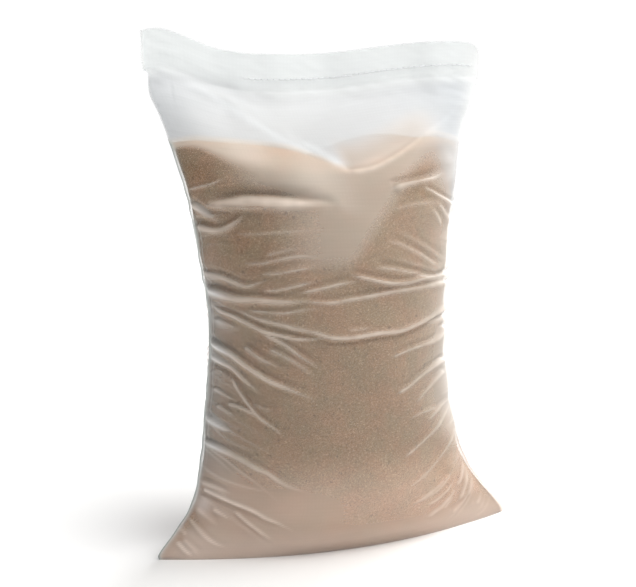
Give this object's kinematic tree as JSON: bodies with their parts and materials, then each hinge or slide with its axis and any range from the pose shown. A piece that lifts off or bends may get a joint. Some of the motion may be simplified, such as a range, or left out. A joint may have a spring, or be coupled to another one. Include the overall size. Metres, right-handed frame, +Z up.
{
  "type": "bag of sand",
  "caption": "Clear woven plastic sack of sand standing upright, filled to about three quarters, its flat empty top turned over to the back and stitched shut.",
  "frame": {"origin": "on the floor, at the centre of the standing bag's outline", "axes": "+Z up from the flat bottom to the stitched top, +X to the right as seen from the front, +Y from the front to the back"},
  "size_m": [0.514, 0.2787, 0.6897],
  "materials": {
    "woven_film": "satin",
    "sand": "matte",
    "sewing_thread": "matte"
  },
  "bodies": {
    "root": {"sack": "woven_film", "sand_fill": "sand", "needle_thread": "sewing_thread", "looper_thread": "sewing_thread"}
  },
  "joints": []
}
